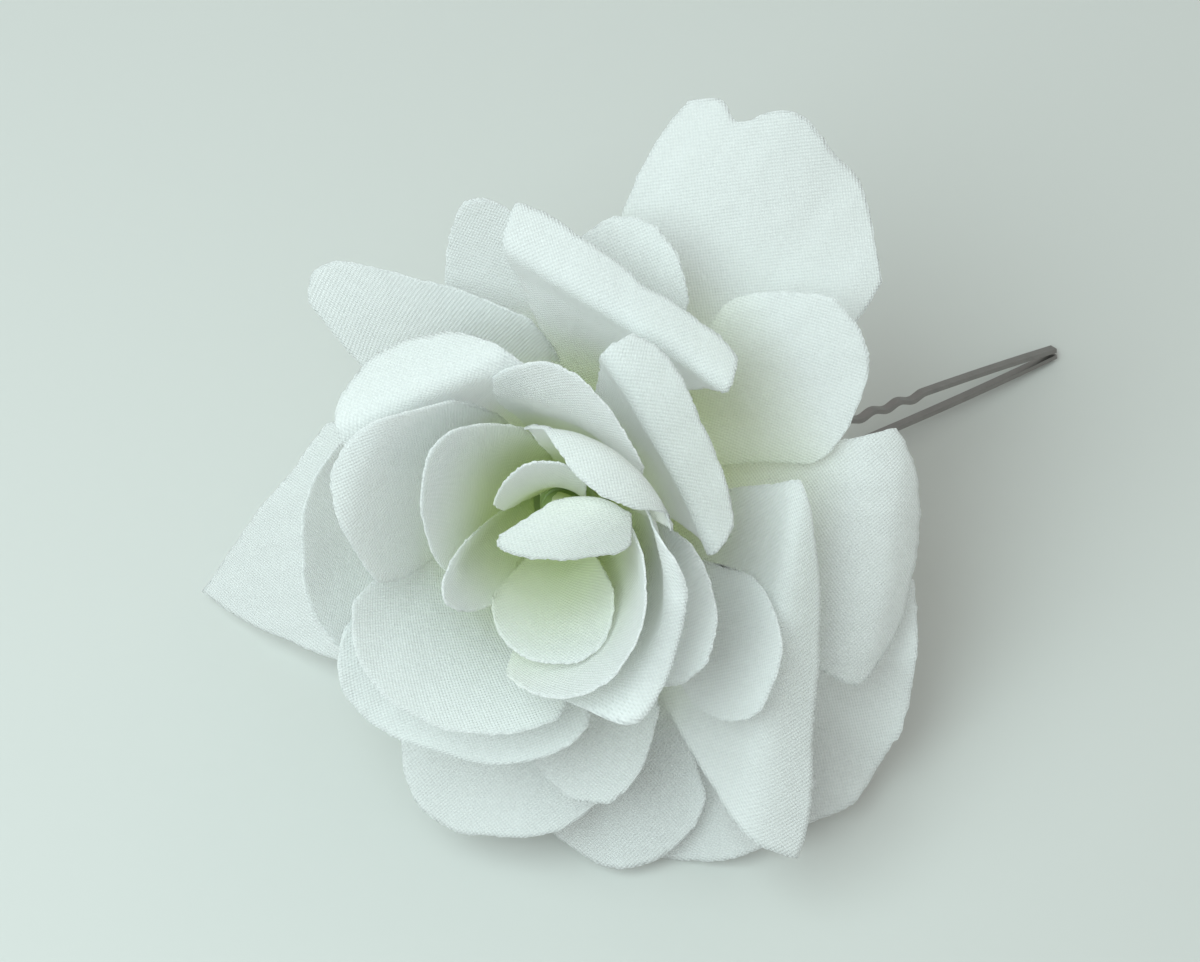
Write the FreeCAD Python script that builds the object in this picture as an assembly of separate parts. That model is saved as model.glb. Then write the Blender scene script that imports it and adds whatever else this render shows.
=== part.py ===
"""Cloth rose on a spring hair pin, built as separate pieces, in mm.

Every piece of the flower is modelled in the flower's own frame: its axis is local Z,
its root is at the origin and local X runs to the right. One placement then leans the
whole flower on the table, Z = 0, as it lies when it is put down.
"""
import FreeCAD
import Part
import math
import os

Vector = FreeCAD.Vector

# ---- driving dimensions ----
CLOTH = 0.4  # thickness allowed for one stiffened cloth petal
ROOT_PLACE = Vector(-7.9, 6.8, 23.4)  # the flower's root, over the table
FLOWER_AXIS = Vector(-0.10, -0.68, 0.726)  # where the flower faces as it lies

PEG_RADIUS = 1.8
PEG_HEAD_RADIUS = 2.6
PEG_FOOT = -9.5
PEG_TOP = 13.0
CUP_RIM_RADIUS = 8.0
CUP_FOOT_RADIUS = 5.0
CUP_TOP = -2.2
CUP_FOOT = -8.2
CUP_WALL = 1.0
SPACER_HEIGHT = 2.4
SPACERS = {  # the foot's height and radius of each collar
    "spacer_lower": (-1.4, 4.4),
    "spacer_middle": (4.6, 3.8),
    "spacer_upper": (9.6, 3.2),
}

PIN_BEND = Vector(7.0, -0.5, -9.0)  # the closed end, from the flower root
PIN_TIP = Vector(64.2, 31.8, -22.4)  # middle of the two tips, from the flower root
PIN_ROLL = -30.0  # how far the pair of legs is turned from upright, round the pin
WIRE_WIDTH = 1.3
WIRE_THICKNESS = 0.6
LEG_GAP = 4.5  # between the legs' middle lines, where they leave the bend
TIP_GAP = 0.9  # between the legs' middle lines, at the tips
CRIMP_START = 17.0
CRIMP_PITCH = 4.1
CRIMP_COUNT = 7
CRIMP_DEPTH = 0.55
HINGE_SLIT = 0.3  # between the bend and the start of the free leg
GLUE_RADIUS = 6.4
GLUE_HEIGHT = 5.6
GLUE_PLACE = Vector(5.6, 0.4, -9.0)  # its middle, in the flower's frame
SWING_ROOM = 0.5  # kept free round the loose leg

# ---- petals ----
# name: (azimuth, yaw, [(radius, height) from root to lip], widths at the same places,
#        bow at the same places)
# azimuth, yaw and bow in degrees. A positive bow cups the petal round the flower's axis.
# Yaw turns the lip in plan, so that one of its corners stands further out.
PETALS = {
    "back_petal_a": (56, -10, [(8, 1.6), (22, 6), (39, 9), (54, 7)], [8, 22, 30, 22], [30, 25, 12, 5]),
    "back_petal_b": (74, -12, [(8, 5.2), (20, 12), (31, 16.5), (37.5, 17)],
                     [6, 12, 14, 12], [30, 25, 20, 10]),
    "back_petal_c": (200, -6, [(8, 1.6), (20, 4.5), (37, 1), (52, -7)], [8, 25, 26, 6], [30, 15, 5, 0]),
    "back_petal_d": (-37, 14, [(8, -0.8), (21.5, 2.5), (37, 5), (50, 6.5)],
                     [8, 22, 33, 32], [20, 20, 20, 20]),
    "back_petal_e": (-101, 10, [(8, 2.6), (19, 10), (31, 16.5), (40.5, 18.5)],
                     [8, 19, 26, 22], [30, 25, 15, 10]),
    "back_petal_f": (-82, -16, [(8, 1.6), (22, 6.5), (35, 11.5), (46, 13)],
                     [6, 15, 21, 17], [20, 15, 10, 5]),
    "back_petal_g": (-64, -8, [(8, 0.4), (22, 4), (37, 8.5), (49, 11)], [6, 15, 22, 20], [20, 15, 10, 5]),
    "outer_petal_a": (74, -19, [(7, 6.0), (18, 13), (25.5, 22), (28.5, 27), (33.5, 27)],
                      [6, 14, 24, 29, 29], [40, 25, 10, 4, 0]),
    "outer_petal_b": (105, 10, [(7, 3.2), (20, 8.5), (31, 14.5), (39.5, 18.5)],
                      [6, 14, 14, 6], [30, 20, 15, 0]),
    "outer_petal_c": (123, -44, [(7, 4.4), (18, 11), (29, 16.5), (35.5, 18.5)],
                      [6, 17, 22, 22], [30, 20, 10, 0]),
    "outer_petal_d": (34, -8, [(7, 4.4), (21.5, 10.5), (33, 15), (42.5, 17.5)],
                      [6, 14, 22, 16], [30, 25, 20, 15]),
    "outer_petal_e": (-7, 0, [(7, 3.0), (20, 8.6), (32, 14.4), (39, 14.4), (43, 10.5)],
                      [6, 18, 28, 32, 28], [30, 15, 0, -15, -20]),
    "outer_petal_f": (-29, 26, [(7, 5.6), (17, 13), (26, 20.5), (30.5, 24), (36, 23.5)],
                      [6, 24, 38, 44, 42], [30, 25, 10, 4, 0]),
    "outer_petal_g": (-172, 0, [(7, 5.2), (17, 12), (25, 21), (29.5, 29)],
                      [6, 18, 26, 22], [40, 45, 45, 40]),
    "outer_petal_h": (-81, 0, [(7, 6.2), (17, 13.5), (27, 20.5), (34, 22.5)],
                      [5, 14, 16, 12], [30, 30, 25, 15]),
    "middle_petal_a": (43, -18, [(6, 8.4), (12, 18), (17, 26.5), (18.5, 31), (24, 31)],
                       [5, 14, 22, 25, 22], [50, 40, 20, 8, 0]),
    "middle_petal_b": (-32, 12, [(6, 7.8), (17, 17.5), (25, 23), (30, 28)],
                       [5, 11, 18, 16], [40, 40, 30, 20]),
    "cup_petal_a": (123, -10, [(6, 8.6), (14, 19), (20, 30), (24, 36), (29.5, 35)],
                    [5, 14, 19, 22, 16], [60, 50, 35, 20, 10]),
    "cup_petal_b": (79, -24, [(5.5, 9.6), (12.5, 21), (17, 32.5), (23, 38.5)],
                    [5, 13, 18, 16], [60, 55, 50, 40]),
    "cup_petal_c": (151, 9, [(5.5, 8.8), (12, 19), (17, 30), (22.5, 38), (25.5, 40)],
                    [5, 16, 22, 22, 18], [60, 60, 60, 60, 55]),
    "cup_petal_d": (-121, 12, [(6, 7.4), (14, 16), (22, 25), (28.5, 29)], [5, 20, 31, 31], [60, 70, 75, 65]),
    "cup_petal_e": (-30, 13, [(6, 9.2), (10.5, 19), (14.5, 30), (15.6, 37), (18.4, 38.2)],
                    [5, 17, 27, 31, 33], [70, 95, 110, 110, 105]),
    "cup_petal_f": (-129, 11, [(5.5, 8.4), (11, 17.5), (17, 28), (23.5, 36)],
                    [5, 16, 25, 24], [60, 70, 70, 65]),
    "cup_petal_g": (-26, 10, [(6, 8.5), (11.3, 18.5), (16, 28), (21, 34)],
                    [5, 12, 17, 16], [60, 60, 60, 55]),
    "bud_petal_a": (137, 28, [(5, 10.4), (9, 21.5), (13, 32), (17, 39)], [5, 13, 19, 19], [60, 75, 80, 75]),
    "bud_petal_b": (-166, 0, [(5, 9.8), (7.5, 22), (10, 33), (11, 40.5)], [4, 6, 7, 5], [50, 60, 60, 40]),
    "bud_petal_c": (58, -3, [(5, 10.8), (8, 22), (11, 34.5), (15.5, 42)],
                    [5, 10, 15, 15], [60, 75, 80, 75]),
    "bud_petal_d": (-48, 8, [(4.4, 11.4), (8, 22), (11, 33), (14, 42)],
                    [5, 15, 24, 27], [80, 110, 125, 115]),
    "bud_petal_e": (90, 16, [(3.8, 12.4), (5.5, 22), (8.5, 32.5), (13, 40.5)],
                    [4, 8, 11, 10], [70, 90, 90, 60]),
    "bud_petal_f": (-78, -8, [(3.2, 13.4), (4.5, 21.5), (7.5, 30.5), (11, 37.5)],
                    [4, 9, 15, 17], [80, 100, 110, 100]),
    "bud_petal_g": (52, 38, [(2.8, 14.4), (5, 24), (8, 34), (11.5, 41), (3, 42)],
                    [4, 5, 6, 7, 16], [60, 60, 60, 60, 45]),
}


def smooth(values, t):
    """Catmull-Rom value at t, from 0 to 1, through evenly numbered values."""
    last = len(values) - 1
    place = min(max(t, 0.0), 1.0) * last
    i = min(int(place), last - 1)
    f = place - i
    before = values[max(i - 1, 0)]
    a = values[i]
    b = values[i + 1]
    after = values[min(i + 2, last)]
    slope = b - before
    bend = 2 * before - 5 * a + 4 * b - after
    twist = 3 * a - before - 3 * b + after
    return 0.5 * (2 * a + slope * f + bend * f * f + twist * f * f * f)


def petal_point(spec, across, along):
    """A point of a petal's middle surface, across from -1 to 1 and along from 0 to 1."""
    azimuth, yaw, spine, widths, bows = spec
    radii = [r for r, _ in spine]
    heights = [h for _, h in spine]
    step = 0.001
    start = min(along, 1 - step)
    rise = smooth(heights, start + step) - smooth(heights, start)
    reach = smooth(radii, start + step) - smooth(radii, start)
    length = math.hypot(rise, reach)
    width = smooth(widths, along)
    bow = math.radians(smooth(bows, along))
    turn = across * bow / 2
    if abs(bow) < 0.01:
        sideways = across * width / 2
        inward = 0.0
    else:
        sideways = width / bow * math.sin(turn)
        inward = width / bow * (1 - math.cos(turn))
    skew = math.radians(yaw) * along
    out = smooth(radii, along) - inward * rise / length + sideways * math.sin(-skew)
    up = smooth(heights, along) + inward * reach / length
    side = sideways * math.cos(skew)
    a = math.radians(azimuth)
    return Vector(out * math.cos(a) - side * math.sin(a), out * math.sin(a) + side * math.cos(a), up)


def smooth_surface(points):
    """A cubic surface that runs through the corners of a square grid of points and close to the rest."""
    spans = len(points) - 3
    knots = [i / spans for i in range(spans + 1)]
    repeats = [4] + [1] * (spans - 1) + [4]
    surface = Part.BSplineSurface()
    surface.buildFromPolesMultsKnots(points, repeats, repeats, knots, knots, False, False, 3, 3)
    return surface


def petal(spec):
    """A petal as a thin closed solid: two smooth faces and the four narrow edges between them."""
    steps = 10
    e = 0.002
    sides = []
    for offset in (-CLOTH / 2, CLOTH / 2):
        grid = []
        for i in range(steps + 1):
            across = -1 + 2 * i / steps
            line = []
            for j in range(steps + 1):
                along = j / steps
                left = petal_point(spec, across - e, along)
                right = petal_point(spec, across + e, along)
                below = petal_point(spec, across, max(along - e, 0))
                above = petal_point(spec, across, min(along + e, 1))
                normal = (right - left).cross(above - below).normalize()
                line.append(petal_point(spec, across, along) + normal * offset)
            grid.append(line)
        sides.append(smooth_surface(grid))
    bottom, top = sides
    faces = [bottom.toShape(), top.toShape()]
    for curve in (lambda s: s.uIso(0), lambda s: s.uIso(1), lambda s: s.vIso(0), lambda s: s.vIso(1)):
        faces.append(Part.makeRuledSurface(curve(bottom).toShape(), curve(top).toShape()))
    shell = Part.Shell(faces)
    shell.sewShape()
    solid = Part.Solid(shell)
    if solid.Volume < 0:
        solid.reverse()
    return solid


def turned(profile):
    """A solid of revolution round the flower's axis, from (radius, height) corners."""
    points = [Vector(r, 0, h) for r, h in profile]
    wire = Part.makePolygon(points + points[:1])
    return Part.Face(wire).revolve(Vector(0, 0, 0), Vector(0, 0, 1), 360)


def core_peg():
    """The moulded peg that every petal and spacer is threaded on, with a domed head."""
    shaft = Part.makeCylinder(PEG_RADIUS, PEG_TOP - PEG_FOOT, Vector(0, 0, PEG_FOOT))
    head = Part.makeSphere(PEG_HEAD_RADIUS, Vector(0, 0, PEG_TOP), Vector(0, 0, 1), 0, 90, 360)
    return shaft.fuse(head).removeSplitter()


def calyx_cup():
    """The thin moulded cup that closes the back of the flower."""
    foot = CUP_FOOT_RADIUS
    rim = CUP_RIM_RADIUS
    hole = PEG_RADIUS
    wall = CUP_WALL
    return turned([
        (hole, CUP_FOOT),
        (foot, CUP_FOOT),
        (rim, CUP_TOP),
        (rim - wall, CUP_TOP),
        (foot - wall * 0.6, CUP_FOOT + wall),
        (hole, CUP_FOOT + wall),
    ])


def spacer(foot, radius):
    """A collar on the peg that keeps two layers of petals apart."""
    return turned([
        (PEG_RADIUS, foot),
        (radius, foot),
        (radius * 0.85, foot + SPACER_HEIGHT),
        (PEG_RADIUS, foot + SPACER_HEIGHT),
    ])


def leg_height(x, length):
    """Half the gap between the legs' middle lines: widest at the bend, closing to the tips."""
    return LEG_GAP / 2 - (LEG_GAP - TIP_GAP) / 2 * (x / length) ** 3


def crimped_line(length):
    """The glued leg's middle line: the round bend, then the waves, then the straight end."""
    radius = LEG_GAP / 2
    points = []
    for i in range(12):
        turn = math.radians(-90 + 15 * i)
        points.append(Vector(radius - radius * math.cos(turn), 0, radius * math.sin(turn)))
    count = round((length - radius) * 8 / CRIMP_PITCH)
    for i in range(count + 1):
        x = radius + (length - radius) * i / count
        z = leg_height(x, length)
        waves = (x - CRIMP_START) / CRIMP_PITCH
        if 0 < waves < CRIMP_COUNT:
            z -= CRIMP_DEPTH / 2 * (1 - math.cos(2 * math.pi * waves))
        points.append(Vector(x, 0, z))
    return points


def straight_line(length):
    """The free leg's middle line, slightly bowed, from the slit at the bend to the tip."""
    start = LEG_GAP / 2 + HINGE_SLIT
    points = []
    for i in range(11):
        x = start + (length - start) * i / 10
        points.append(Vector(x, 0, -leg_height(x, length)))
    return points


def flat_wire(points):
    """Flat wire along points in the pin's XZ plane: its side outline pushed out to the wire's width."""
    half = WIRE_THICKNESS / 2
    above = []
    below = []
    for i, p in enumerate(points):
        along = (points[min(i + 1, len(points) - 1)] - points[max(i - 1, 0)]).normalize()
        normal = Vector(-along.z, 0, along.x)
        above.append(p + normal * half)
        below.append(p - normal * half)
    edges = []
    for side in (above, below):
        curve = Part.BSplineCurve()
        curve.interpolate(side)
        edges.append(curve.toShape())
    edges.append(Part.makeLine(above[0], below[0]))
    edges.append(Part.makeLine(above[-1], below[-1]))
    outline = Part.Wire(Part.__sortEdges__(edges))
    wire = Part.Face(outline).extrude(Vector(0, WIRE_WIDTH, 0))
    wire.translate(Vector(0, -WIRE_WIDTH / 2, 0))
    return wire


def glue_pad(lean, lay, neighbours):
    """The lump of set glue that holds the pin's closed end against the cup, clear of the loose leg."""
    pad = Part.makeCylinder(GLUE_RADIUS, GLUE_HEIGHT, Vector(0, 0, -GLUE_HEIGHT / 2))
    rims = [e for e in pad.Edges if e.Curve.TypeId == "Part::GeomCircle"]
    pad = pad.makeFillet(GLUE_HEIGHT * 0.45, rims)
    move(pad, lean.multiply(FreeCAD.Placement(GLUE_PLACE, FreeCAD.Rotation())))
    wide = WIRE_WIDTH + 2 * SWING_ROOM
    top = -LEG_GAP / 2 + WIRE_THICKNESS / 2 + SWING_ROOM
    channel = Part.makeBox(24, wide, 12, Vector(LEG_GAP / 2 + HINGE_SLIT - SWING_ROOM, -wide / 2, top - 12))
    move(channel, lay)
    pad = pad.cut(channel)
    for other in neighbours:
        pad = pad.cut(other)
    return max(pad.Solids, key=lambda s: s.Volume)


def move(shape, placement):
    """Carries a shape from its own frame to where the placement puts that frame."""
    shape.Placement = placement.multiply(shape.Placement)


def flower_placement():
    """Leans the flower's frame on the table."""
    axis = Vector(FLOWER_AXIS).normalize()
    right = Vector(1, 0, 0) - axis * axis.x
    right.normalize()
    back = axis.cross(right)
    rotation = FreeCAD.Rotation(right, back, axis, "ZXY")
    return FreeCAD.Placement(ROOT_PLACE, rotation)


def pin_placement():
    """Lays the pin's frame from the flower's back to the table."""
    along = (PIN_TIP - PIN_BEND).normalize()
    side = Vector(0, 0, 1).cross(along).normalize()
    up = along.cross(side)
    rotation = FreeCAD.Rotation(along, side, up, "XZY")
    roll = FreeCAD.Rotation(Vector(1, 0, 0), PIN_ROLL)
    return FreeCAD.Placement(PIN_BEND + ROOT_PLACE, rotation.multiply(roll))


def build():
    """Every piece by name, in the resting pose."""
    lean = flower_placement()
    lay = pin_placement()
    parts = {}
    for name, spec in PETALS.items():
        parts[name] = petal(spec)
    parts["core_peg"] = core_peg()
    parts["calyx_cup"] = calyx_cup()
    for name, (foot, radius) in SPACERS.items():
        parts[name] = spacer(foot, radius)
    for shape in parts.values():
        move(shape, lean)
    length = (PIN_TIP - PIN_BEND).Length
    parts["pin_crimped_leg"] = flat_wire(crimped_line(length))
    parts["pin_straight_leg"] = flat_wire(straight_line(length))
    for name in ("pin_crimped_leg", "pin_straight_leg"):
        move(parts[name], lay)
    touching = [parts["calyx_cup"], parts["core_peg"], parts["pin_crimped_leg"]]
    parts["glue_pad"] = glue_pad(lean, lay, touching)
    return parts


if __name__ == "__main__":
    os.makedirs("parts", exist_ok=True)
    for part_name, part_shape in build().items():
        part_shape.exportStep("parts/" + part_name + ".step")
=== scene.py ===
"""Cloth rose on a spring hair pin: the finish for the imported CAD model.

Lengths in the tables are millimetres in the flower's own frame, where Z is the flower's
axis, the root of the flower is the origin and X runs to the right. LEAN carries them to
the row frame, in metres.
"""
import math

import bpy
import numpy as np
from mathutils import Matrix, Vector, noise


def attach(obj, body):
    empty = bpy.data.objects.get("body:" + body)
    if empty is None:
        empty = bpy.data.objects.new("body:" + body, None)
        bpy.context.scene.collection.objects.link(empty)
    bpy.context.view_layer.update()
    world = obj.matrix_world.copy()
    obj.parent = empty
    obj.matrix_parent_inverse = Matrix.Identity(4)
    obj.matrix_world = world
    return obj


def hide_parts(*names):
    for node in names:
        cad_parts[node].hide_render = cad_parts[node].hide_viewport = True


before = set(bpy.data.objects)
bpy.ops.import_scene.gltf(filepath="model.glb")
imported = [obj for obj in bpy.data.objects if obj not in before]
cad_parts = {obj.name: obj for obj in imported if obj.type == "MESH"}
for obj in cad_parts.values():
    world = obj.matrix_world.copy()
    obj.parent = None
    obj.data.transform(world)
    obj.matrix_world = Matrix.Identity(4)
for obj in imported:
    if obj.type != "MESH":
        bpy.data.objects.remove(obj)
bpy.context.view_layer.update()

MM = 0.001
ROOT_PLACE = Vector((-7.9, 6.8, 23.4))
FLOWER_AXIS = Vector((-0.10, -0.68, 0.726))
CLOTH_THICKNESS = 0.25
THREAD_PITCH = 0.52
FRAY = 0.05
RAGGED_CUT = 0.016
# Share of a petal's length, from its root, over which green shade is painted for the flower's hollows.
HOLLOW_SHADE_REACH = 0.58
SEE_THROUGH = 0.6
ACROSS = 57
ALONG = 65

# ---- petals ----
# Each petal: azimuth, yaw of the lip in plan, spine [(radius, height)...] from root to lip,
# widths and bows along the spine (degrees, positive cups round the axis), and options:
#   corner    share of the length cut away at the lip's corners, with its sharpness
#   slant     further share of the length cut away towards the lip's left corner
#   notch     (place across, depth, width) of a dip in the lip
#   curl      (left, right) degrees the side edges turn, positive outwards
#   wave      (height in mm, turns, phase) of the lip
#   crease    height in mm of the pressed wrinkles
#   hollow_shade  how far up the petal the painted green shade of the flower's hollows reaches, from 0 to 1
PETALS = {
    "back_petal_a": dict(
        azimuth=56, yaw=-10, spine=[(6, 1.6), (22, 6), (39, 9), (54.5, 7)],
        widths=[8, 22, 32, 30], bows=[30, 25, 12, 5],
        corner=(0.16, 2.6), notch=(0.62, 0.07, 0.14), curl=(20, 25), wave=(1.2, 1.2, 0.4), crease=0.5),
    "back_petal_b": dict(
        azimuth=74, yaw=-12, spine=[(6, 5.2), (20, 12), (31, 16.5), (38, 17)],
        widths=[6, 12, 15, 16], bows=[30, 25, 20, 10], corner=(0.18, 2.2), curl=(10, 10), crease=0.3),
    "back_petal_c": dict(
        azimuth=200, yaw=-6, spine=[(6, 1.6), (20, 4.5), (37, 1), (52.5, -7.4)],
        widths=[8, 33, 35, 34], bows=[30, 15, 5, 0],
        corner=(0.58, 1.05), curl=(10, 20), wave=(0.8, 1.0, 0.0), crease=0.6, hollow_shade=0.25),
    "back_petal_d": dict(
        azimuth=-37, yaw=14, spine=[(6, -0.8), (21.5, 2.5), (37, 5), (50.5, 6.5)],
        widths=[8, 23, 35, 38], bows=[20, 20, 20, 20],
        corner=(0.16, 2.4), wave=(0.7, 3.5, 1.0), crease=0.6),
    "back_petal_e": dict(
        azimuth=-101, yaw=10, spine=[(6, 2.6), (19, 10), (31, 16.5), (41, 18.5)],
        widths=[8, 21, 29, 30], bows=[30, 25, 15, 10], corner=(0.32, 3.2), wave=(0.6, 1.5, 0.3), crease=0.6),
    "back_petal_f": dict(
        azimuth=-82, yaw=-16, spine=[(6, 1.6), (22, 6.5), (35, 11.5), (46.5, 13)],
        widths=[6, 17, 25, 27], bows=[20, 15, 10, 5], corner=(0.25, 1.8), wave=(0.5, 2.0, 0.8), crease=0.5),
    "back_petal_g": dict(
        azimuth=-64, yaw=-8, spine=[(6, 0.4), (22, 4), (37, 8.5), (49.5, 11)],
        widths=[6, 16, 24, 27], bows=[20, 15, 10, 5], corner=(0.14, 2.6), wave=(0.5, 2.0, 2.0), crease=0.5),
    "outer_petal_a": dict(
        azimuth=74, yaw=-19, spine=[(5, 6.0), (18, 13), (25.5, 22), (28.5, 27), (33.6, 25.5)],
        widths=[6, 14, 25, 31, 31], bows=[40, 25, 10, 4, 0], corner=(0.03, 6.0), crease=0.3),
    "outer_petal_b": dict(
        azimuth=105, yaw=10, spine=[(5, 3.2), (20, 8.5), (31, 14.5), (40.5, 19)],
        widths=[6, 16, 18, 16], bows=[30, 20, 15, 0],
        corner=(0.3, 1.8), slant=0.25, curl=(20, 20), crease=0.4),
    "outer_petal_c": dict(
        azimuth=123, yaw=-44, spine=[(5, 4.4), (18, 11), (29, 16.5), (36, 18.5)],
        widths=[6, 20, 26, 28], bows=[30, 20, 10, 0], corner=(0.16, 3.6), crease=0.4),
    "outer_petal_d": dict(
        azimuth=34, yaw=-8, spine=[(5, 4.4), (21.5, 10.5), (33, 15), (43, 17.5)],
        widths=[6, 14, 24, 22], bows=[30, 25, 20, 15], corner=(0.34, 2.6), curl=(10, 10), crease=0.4,
        hollow_shade=0.8),
    "outer_petal_e": dict(
        azimuth=-7, yaw=0, spine=[(5, 3.0), (20, 8.6), (32, 14.4), (39, 14.4), (43, 10.5)],
        widths=[6, 18, 28, 33, 33], bows=[30, 15, 0, -15, -20], corner=(0.14, 2.6), crease=0.4, hollow_shade=0.75),
    "outer_petal_f": dict(
        azimuth=-29, yaw=26, spine=[(5, 5.6), (17, 13), (26, 20.5), (30.5, 24), (36.2, 22)],
        widths=[6, 24, 38, 45, 46], bows=[30, 25, 10, 4, 0], corner=(0.03, 5.0), slant=0.14, crease=0.3),
    "outer_petal_g": dict(
        azimuth=-172, yaw=0, spine=[(5, 5.2), (17, 12), (25, 21), (29.5, 29)],
        widths=[6, 20, 28, 28], bows=[40, 45, 45, 40], corner=(0.2, 2.6), crease=0.7),
    "outer_petal_h": dict(
        azimuth=-81, yaw=0, spine=[(5, 6.2), (17, 13.5), (27, 20.5), (34.5, 22.5)],
        widths=[5, 15, 18, 18], bows=[30, 30, 25, 15], corner=(0.31, 2.2), crease=0.5),
    "middle_petal_a": dict(
        azimuth=43, yaw=-18, spine=[(4.5, 8.4), (12, 18), (17, 26.5), (18.5, 31), (24.2, 29.5)],
        widths=[5, 14, 23, 27, 24], bows=[50, 40, 20, 8, 0], corner=(0.08, 4.0), crease=0.3),
    "middle_petal_b": dict(
        azimuth=-32, yaw=12, spine=[(4.5, 7.8), (17, 17.5), (25, 23), (31, 28.5)],
        widths=[5, 11, 20, 21], bows=[40, 40, 30, 20], corner=(0.42, 3.6), curl=(30, 30), crease=0.4),
    "cup_petal_a": dict(
        azimuth=123, yaw=-10, spine=[(4.5, 8.6), (14, 19), (20, 30), (24, 36), (29.8, 32.5)],
        widths=[5, 14, 20, 24, 24], bows=[60, 50, 35, 20, 10], corner=(0.2, 2.4), crease=0.3),
    "cup_petal_b": dict(
        azimuth=79, yaw=-24, spine=[(4.5, 9.6), (12.5, 21), (17, 32.5), (23.5, 39)],
        widths=[5, 13, 20, 20], bows=[60, 55, 50, 40], corner=(0.18, 2.1), crease=0.3),
    "cup_petal_c": dict(
        azimuth=151, yaw=9, spine=[(4.5, 8.8), (12, 19), (17, 30), (22.5, 38), (26.2, 40)],
        widths=[5, 17, 24, 25, 26], bows=[60, 60, 60, 60, 55], corner=(0.25, 2.1), crease=0.3),
    "cup_petal_d": dict(
        azimuth=-121, yaw=12, spine=[(4.5, 7.4), (14, 16), (22, 25), (29.2, 29.5)],
        widths=[5, 20, 33, 37], bows=[60, 70, 75, 65], corner=(0.25, 2.8), crease=0.4),
    "cup_petal_e": dict(
        azimuth=-30, yaw=13, spine=[(4.5, 9.2), (10.5, 19), (14.5, 30), (15.6, 37), (18.4, 38.2)],
        widths=[5, 17, 28, 32, 34], bows=[70, 95, 112, 112, 105], corner=(0.16, 2.4), crease=0.3),
    "cup_petal_f": dict(
        azimuth=-129, yaw=11, spine=[(4.5, 8.4), (11, 17.5), (17, 28), (24, 36.5)],
        widths=[5, 16, 28, 29], bows=[60, 70, 70, 65], corner=(0.2, 2.4), crease=0.3),
    "cup_petal_g": dict(
        azimuth=-26, yaw=10, spine=[(4.5, 8.5), (11.3, 18.5), (16, 28), (22, 34.5)],
        widths=[5, 12, 18, 20], bows=[60, 60, 60, 55], corner=(0.2, 2.4), crease=0.3),
    "bud_petal_a": dict(
        azimuth=137, yaw=28, spine=[(4, 10.4), (9, 21.5), (13, 32), (17.5, 40)],
        widths=[5, 15, 22, 25], bows=[60, 75, 80, 75], corner=(0.32, 2.1), crease=0.25, hollow_shade=0.9),
    "bud_petal_b": dict(
        azimuth=-166, yaw=0, spine=[(4, 9.8), (7.5, 22), (10, 33), (11, 41)],
        widths=[5, 8, 10.5, 10], bows=[50, 90, 120, 100], corner=(0.28, 2.0), crease=0.25, hollow_shade=0.9),
    "bud_petal_c": dict(
        azimuth=58, yaw=-3, spine=[(4, 10.8), (9, 22), (14, 33), (17, 40), (13, 43.5)],
        widths=[5, 10, 17, 22, 19], bows=[60, 75, 80, 80, 75], corner=(0.14, 2.0), crease=0.25, hollow_shade=0.9),
    "bud_petal_d": dict(
        azimuth=-46, yaw=8, spine=[(3.6, 11.4), (8, 22), (11, 33), (14, 43)],
        widths=[5, 15, 26, 32], bows=[80, 110, 130, 125], corner=(0.2, 2.0), crease=0.25, hollow_shade=0.9),
    "bud_petal_e": dict(
        azimuth=90, yaw=16, spine=[(3, 12.4), (5.5, 22), (8.5, 32.5), (13.5, 41)],
        widths=[4, 8, 11, 13], bows=[70, 90, 90, 60], corner=(0.2, 2.0), crease=0.2, hollow_shade=1.0),
    "bud_petal_f": dict(
        azimuth=-78, yaw=-8, spine=[(2.6, 13.4), (4.5, 21.5), (7.5, 30.5), (11.5, 38)],
        widths=[4, 9, 16, 21], bows=[80, 100, 110, 100], corner=(0.3, 2.6), crease=0.2, hollow_shade=1.0),
    "bud_petal_g": dict(
        azimuth=52, yaw=38, spine=[(2.4, 14.4), (5, 24), (8, 34), (11.5, 41), (3, 42)],
        widths=[4, 6, 7, 8, 18], bows=[60, 60, 60, 60, 45], corner=(0.06, 3.0), crease=0.2, hollow_shade=0.9),
}


def lean_matrix():
    """Takes millimetres in the flower's frame to metres in the row frame."""
    axis = FLOWER_AXIS.normalized()
    right = (Vector((1, 0, 0)) - axis * axis.x).normalized()
    back = axis.cross(right)
    turn = Matrix((right, back, axis)).transposed().to_4x4()
    return Matrix.Scale(MM, 4) @ Matrix.Translation(ROOT_PLACE) @ turn


LEAN = lean_matrix()


def smooth(values, t):
    """Catmull-Rom values at t, from 0 to 1, through evenly numbered values."""
    values = np.asarray(values, float)
    last = len(values) - 1
    place = np.clip(t, 0, 1) * last
    i = np.minimum(place.astype(int), last - 1)
    f = place - i
    before = values[np.maximum(i - 1, 0)]
    a = values[i]
    b = values[i + 1]
    after = values[np.minimum(i + 2, last)]
    slope = b - before
    bend = 2 * before - 5 * a + 4 * b - after
    twist = 3 * a - before - 3 * b + after
    return 0.5 * (2 * a + slope * f + bend * f ** 2 + twist * f ** 3)


def spine_points(spine, s):
    """Radius and height along a spine at s, and its direction there, with s even in length."""
    t = np.linspace(0, 1, 241)
    r = smooth([p[0] for p in spine], t)
    h = smooth([p[1] for p in spine], t)
    run = np.concatenate([[0], np.cumsum(np.hypot(np.diff(r), np.diff(h)))])
    length = run[-1]
    along = np.interp(s * length, run, t)
    dr = np.interp(along, t, np.gradient(r, t))
    dh = np.interp(along, t, np.gradient(h, t))
    size = np.hypot(dr, dh)
    return (np.interp(along, t, r), np.interp(along, t, h), dr / size, dh / size, along, length)


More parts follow.
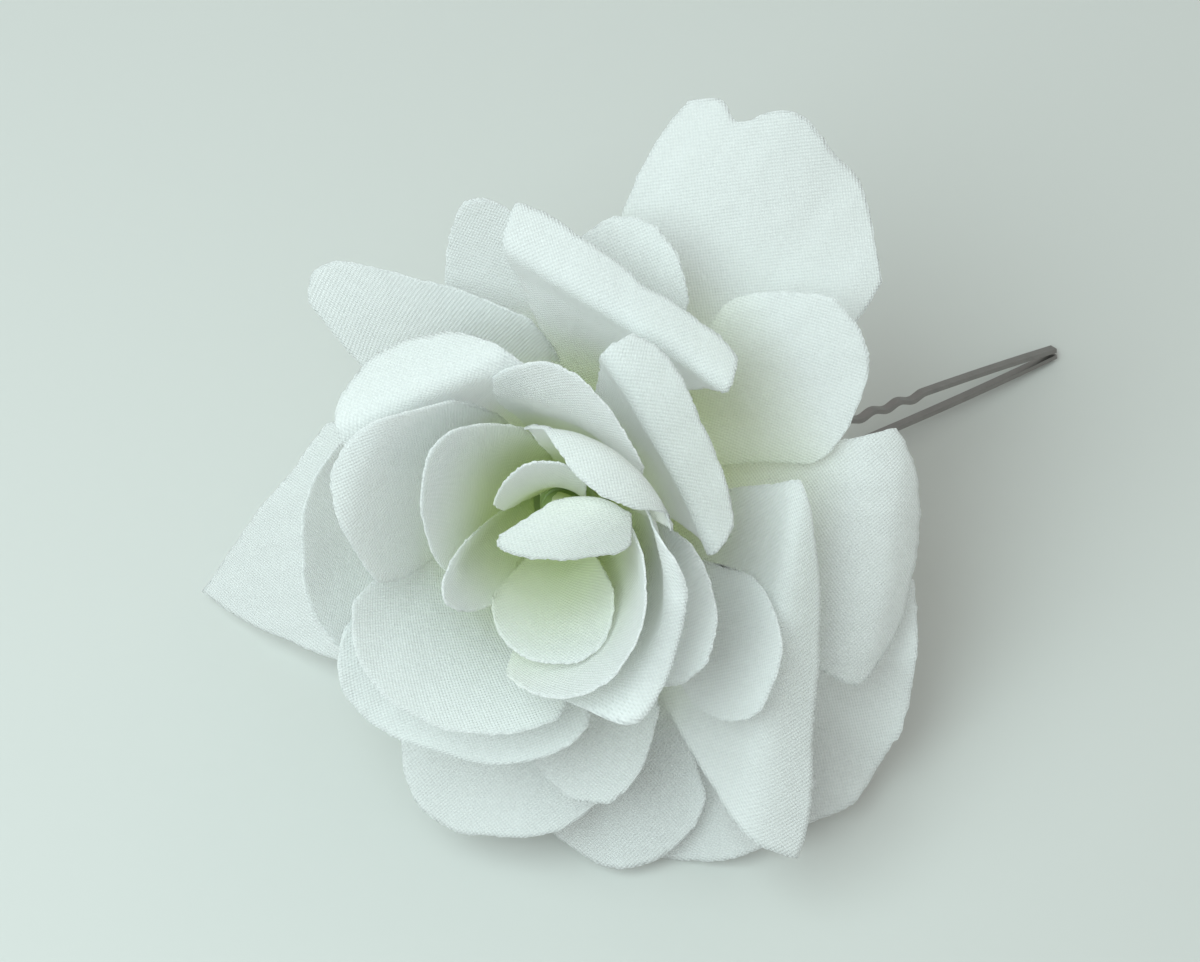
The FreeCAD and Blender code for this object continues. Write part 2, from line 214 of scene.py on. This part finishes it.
def petal_points(petal, u, s):
    """Points of a petal, in the flower's frame, across at u and along at s, arrays of one shape."""
    r, h, dr, dh, t, _ = spine_points(petal["spine"], s)
    width = smooth(petal["widths"], t)
    bow = np.radians(smooth(petal["bows"], t))
    left, right = petal.get("curl", (0, 0))
    steps = (np.arange(16) + 0.5) / 16
    part = u[..., None] * steps
    edge = np.clip((np.abs(part) - 0.55) / 0.45, 0, 1) ** 1.5
    grown = np.clip((s[..., None] - 0.25) / 0.5, 0, 1)
    angle = bow[..., None] * part / 2
    angle += grown * edge * np.where(part > 0, -math.radians(right), math.radians(left))
    side = width / 2 * u * np.cos(angle).mean(-1)
    inward = width / 2 * u * np.sin(angle).mean(-1)
    height, turns, phase = petal.get("wave", (0, 1, 0))
    inward = inward + height * s ** 4 * np.sin(turns * math.pi * u + phase)
    yaw = math.radians(petal["yaw"]) * s
    out = r - inward * dh - side * np.sin(yaw)
    up = h + inward * dr
    side = side * np.cos(yaw)
    a = math.radians(petal["azimuth"])
    return np.stack([out * np.cos(a) - side * np.sin(a), out * np.sin(a) + side * np.cos(a), up], -1)


def reach(petal, u):
    """How far along the spine the cloth goes at u: the outline of the lip."""
    share, sharpness = petal["corner"]
    full = 1 - share * np.abs(u) ** sharpness - petal.get("slant", 0) * ((1 + u) / 2) ** 5
    place, depth, wide = petal.get("notch", (0, 0, 1))
    return full - depth * np.exp(-((u - place) / wide) ** 2)


def petal_mesh(name, petal, seed):
    """The petal's cloth as a grid of quads with its flat pattern as UVs, in metres."""
    rng = np.random.default_rng(seed)
    u = np.linspace(-1, 1, ACROSS)[None, :] * np.ones((ALONG, 1))
    v = np.linspace(0, 1, ALONG)[:, None] * np.ones((1, ACROSS))
    cut = [noise.noise((3.1 * x, seed * 1.7, 0.0)) + 0.12 * noise.noise((11.0 * x, seed, 0.0)) for x in u[0]]
    s = v * (reach(petal, u) + RAGGED_CUT * np.array(cut))
    points = petal_points(petal, u, s)
    e = 0.004  # half the step, in u and s, over which the normal is taken
    across = petal_points(petal, u + e, s) - petal_points(petal, u - e, s)
    along = petal_points(petal, u, s + e) - petal_points(petal, u, s - e)
    normal = np.cross(across, along)
    normal /= np.maximum(np.linalg.norm(normal, axis=-1, keepdims=True), 1e-9)
    length = spine_points(petal["spine"], np.zeros(1))[5]
    width = smooth(petal["widths"], spine_points(petal["spine"], s)[4])
    flat = np.stack([u * width / 2, s * length], -1)
    lift = np.zeros(u.shape)
    for i in range(ALONG):
        for j in range(ACROSS):
            x, y = flat[i, j]
            broad = noise.noise((x * 0.11, y * 0.06, seed * 7.3))
            pleats = noise.noise((x * 0.34, y * 0.07, seed * 3.1))
            crumple = noise.noise((x * 0.5, y * 0.4, seed * 5.9))
            lift[i, j] = broad + 0.4 * pleats + 0.14 * crumple
    points = points + normal * (lift * petal["crease"] * (0.3 + 0.7 * s))[..., None]
    fray = rng.normal(0, FRAY, (ALONG, ACROSS, 3))
    border = np.zeros((ALONG, ACROSS, 1))
    border[-1] = 1
    border[:, 0] = 1
    border[:, -1] = 1
    points = points + fray * border
    turn = np.array(LEAN.to_3x3())
    world = points.reshape(-1, 3) @ turn.T + np.array(LEAN.translation)
    faces = []
    for i in range(ALONG - 1):
        for j in range(ACROSS - 1):
            k = i * ACROSS + j
            faces.append((k, k + 1, k + ACROSS + 1, k + ACROSS))
    mesh = bpy.data.meshes.new(name)
    mesh.from_pydata(world.tolist(), [], faces)
    mesh.validate()
    uv = mesh.uv_layers.new(name="cloth")
    corners = np.empty(len(mesh.loops), int)
    mesh.loops.foreach_get("vertex_index", corners)
    uv.data.foreach_set("uv", (flat.reshape(-1, 2) * MM)[corners].ravel())
    # Painted shade: a mask that tints each petal green from its root outwards, standing in for the shade deep
    # in the flower's hollows.
    hollow_shade = mesh.attributes.new("hollow_shade", "FLOAT", "POINT")
    hollow_shade.data.foreach_set("value", np.clip(1 - s / petal.get("hollow_shade", HOLLOW_SHADE_REACH), 0, 1).ravel() ** 1.2)
    mesh.polygons.foreach_set("use_smooth", [True] * len(mesh.polygons))
    return mesh


# ---- materials ----


class Nodes:
    """A material's node tree, with one-line helpers for adding and linking nodes."""

    def __init__(self, name):
        self.material = bpy.data.materials.new(name)
        self.material.use_nodes = True
        self.tree = self.material.node_tree
        self.shader = self.tree.nodes["Principled BSDF"]
        self.output = self.tree.nodes["Material Output"]

    def add(self, kind, inputs=(), **settings):
        node = self.tree.nodes.new(kind)
        for key, value in settings.items():
            setattr(node, key, value)
        for key, value in dict(inputs).items():
            if isinstance(value, bpy.types.NodeSocket):
                self.tree.links.new(value, node.inputs[key])
            else:
                node.inputs[key].default_value = value
        return node

    def math(self, operation, a, b=0.0):
        return self.add("ShaderNodeMath", {0: a, 1: b}, operation=operation).outputs[0]

    def link(self, a, b):
        self.tree.links.new(a, b)


def cloth_material(name, white, green):
    """Stiffened woven satin, slightly see-through, with green shade painted towards each petal's root for the
    flower's deep hollows.
    """
    n = Nodes(name)
    uv = n.add("ShaderNodeUVMap", uv_map="cloth")
    place = n.add("ShaderNodeSeparateXYZ", {0: uv.outputs[0]})
    turns = 2 * math.pi / (THREAD_PITCH * MM)
    warp = n.math("SINE", n.math("MULTIPLY", place.outputs[0], turns))
    weft = n.math("SINE", n.math("MULTIPLY", place.outputs[1], turns))
    weave = n.math("MULTIPLY", warp, weft)
    # Painted shade: the root mask, clouded by noise, mixes the white towards green where the flower's hollows
    # lie.
    hollow_shade = n.add("ShaderNodeAttribute", attribute_name="hollow_shade").outputs["Fac"]
    cloudy = n.add("ShaderNodeTexNoise", {"Vector": uv.outputs[0], "Scale": 90.0, "Detail": 3.0})
    amount = n.math("MULTIPLY", hollow_shade, n.math("ADD", cloudy.outputs["Fac"], 0.55))
    painted_shade_tint = n.add("ShaderNodeMix", {0: amount, 6: white, 7: green}, data_type="RGBA")
    threads = n.math("MULTIPLY_ADD", weave, 0.045)
    threads.node.inputs[2].default_value = 1.0
    tint_and_threads = {0: 1.0, 6: painted_shade_tint.outputs[2], 7: threads}
    shade = n.add("ShaderNodeMix", tint_and_threads, data_type="RGBA", blend_type="MULTIPLY")
    n.link(shade.outputs[2], n.shader.inputs["Base Color"])
    n.shader.inputs["Roughness"].default_value = 0.46
    n.shader.inputs["Specular IOR Level"].default_value = 0.5
    n.shader.inputs["Sheen Weight"].default_value = 0.2
    n.shader.inputs["Sheen Roughness"].default_value = 0.4
    fine = n.add("ShaderNodeBump", {"Height": weave, "Distance": 0.00009, "Strength": 0.65})
    slub = n.add("ShaderNodeTexNoise", {"Vector": uv.outputs[0], "Scale": 420.0, "Detail": 2.0})
    soft = n.add("ShaderNodeBump", {
        "Height": slub.outputs["Fac"], "Distance": 0.0003, "Strength": 0.4, "Normal": fine.outputs[0]})
    n.link(soft.outputs[0], n.shader.inputs["Normal"])
    glow = n.add("ShaderNodeBsdfTranslucent", {"Color": shade.outputs[2], "Normal": soft.outputs[0]})
    both = n.add("ShaderNodeMixShader", {0: SEE_THROUGH, 1: n.shader.outputs[0], 2: glow.outputs[0]})
    n.link(both.outputs[0], n.output.inputs["Surface"])
    return n.material


def plain_material(name, color, roughness, metallic=0.0, grain=200.0, depth=0.00003):
    """A moulded or drawn surface with a slight unevenness."""
    n = Nodes(name)
    where = n.add("ShaderNodeTexCoord").outputs["Object"]
    spots = n.add("ShaderNodeTexNoise", {"Vector": where, "Scale": grain, "Detail": 4.0})
    tone = n.add("ShaderNodeMix", {0: spots.outputs["Fac"], 6: [c * 0.75 for c in color[:3]] + [1], 7: color},
                 data_type="RGBA")
    n.link(tone.outputs[2], n.shader.inputs["Base Color"])
    n.shader.inputs["Roughness"].default_value = roughness
    n.shader.inputs["Metallic"].default_value = metallic
    bump = n.add("ShaderNodeBump", {"Height": spots.outputs["Fac"], "Distance": depth, "Strength": 0.5})
    n.link(bump.outputs[0], n.shader.inputs["Normal"])
    return n.material


WHITE = (0.97, 0.98, 0.98, 1)
# The green is painted shade, laid on towards the petals' roots in the flower's hollows.
SHADE_GREEN = (0.92, 0.98, 0.66, 1)
petal_cloth = cloth_material("petal satin", WHITE, SHADE_GREEN)
inner_cloth = cloth_material("inner petal satin", WHITE, SHADE_GREEN)

# ---- the cloth petals, each standing for its CAD solid ----
for seed, (name, petal) in enumerate(PETALS.items()):
    piece = bpy.data.objects.new(name + "_cloth", petal_mesh(name, petal, seed))
    bpy.context.scene.collection.objects.link(piece)
    thick = piece.modifiers.new("thickness", "SOLIDIFY")
    thick.thickness = CLOTH_THICKNESS * MM
    thick.offset = 0
    inner = name.startswith(("cup", "bud"))
    piece.data.materials.append(inner_cloth if inner else petal_cloth)
    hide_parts(name)
    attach(piece, "flower")

# ---- the moulded, glued and metal pieces, whose shape is the CAD's ----
core = plain_material("moulded polythene", (0.55, 0.7, 0.33, 1), 0.45)
glue = plain_material("set glue", (0.85, 0.83, 0.72, 1), 0.25, grain=90.0, depth=0.0002)
steel = plain_material("pin steel", (0.3, 0.28, 0.27, 1), 0.33, metallic=0.9, grain=600.0, depth=0.00002)
for name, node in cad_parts.items():
    if name.startswith("pin_"):
        finish = steel
    elif name == "glue_pad":
        finish = glue
    else:
        finish = core
    if "_petal_" not in name:
        node.data.materials.clear()
        node.data.materials.append(finish)


# ---- table, lamps and camera ----
def table_top():
    """The pale paper that the clip lies on, which isn't part of it."""
    mesh = bpy.data.meshes.new("table")
    side = 1.6
    corners = [(-side, -side, 0), (side, -side, 0), (side, side, 0), (-side, side, 0)]
    mesh.from_pydata(corners, [], [(0, 1, 2, 3)])
    table = bpy.data.objects.new("table", mesh)
    n = Nodes("table paper")
    n.shader.inputs["Base Color"].default_value = (0.56, 0.57, 0.55, 1)
    n.shader.inputs["Roughness"].default_value = 0.7
    mesh.materials.append(n.material)
    bpy.context.scene.collection.objects.link(table)


def lamp(name, place, target, size, power, color):
    """A round area lamp at place, turned to target, with sizes in metres and power in watts."""
    data = bpy.data.lights.new(name, "AREA")
    data.shape = "DISK"
    data.size = size
    data.energy = power
    data.color = color
    thing = bpy.data.objects.new(name, data)
    thing.location = place
    thing.rotation_euler = (Vector(target) - Vector(place)).to_track_quat("-Z", "Y").to_euler()
    bpy.context.scene.collection.objects.link(thing)


table_top()
lamp("window", (-0.2, -0.12, 0.42), (-0.03, -0.04, 0.02), 0.4, 1.85, (0.82, 1.0, 1.0))
lamp("room", (0.7, 0.5, 0.9), (0, 0, 0.02), 0.9, 0.7, (1.0, 0.93, 0.84))
world = bpy.data.worlds.new("room light")
world.use_nodes = True
world.node_tree.nodes["Background"].inputs["Color"].default_value = (0.96, 1.0, 0.97, 1)
world.node_tree.nodes["Background"].inputs["Strength"].default_value = 0.6
bpy.context.scene.world = world
bpy.context.scene.view_settings.view_transform = "Standard"

CAMERA_TILT = 62.0  # degrees below the horizon
CAMERA_PLACE = Vector((-0.0047, -0.1992, 0.4113))
CAMERA_LENS = 105.8
lens = bpy.data.cameras.new("camera")
lens.lens = CAMERA_LENS
lens.sensor_width = 36.0
lens.clip_start = 0.01
camera = bpy.data.objects.new("camera", lens)
camera.location = CAMERA_PLACE
camera.rotation_euler = (math.radians(90 - CAMERA_TILT), 0, 0)
bpy.context.scene.collection.objects.link(camera)
bpy.context.scene.camera = camera
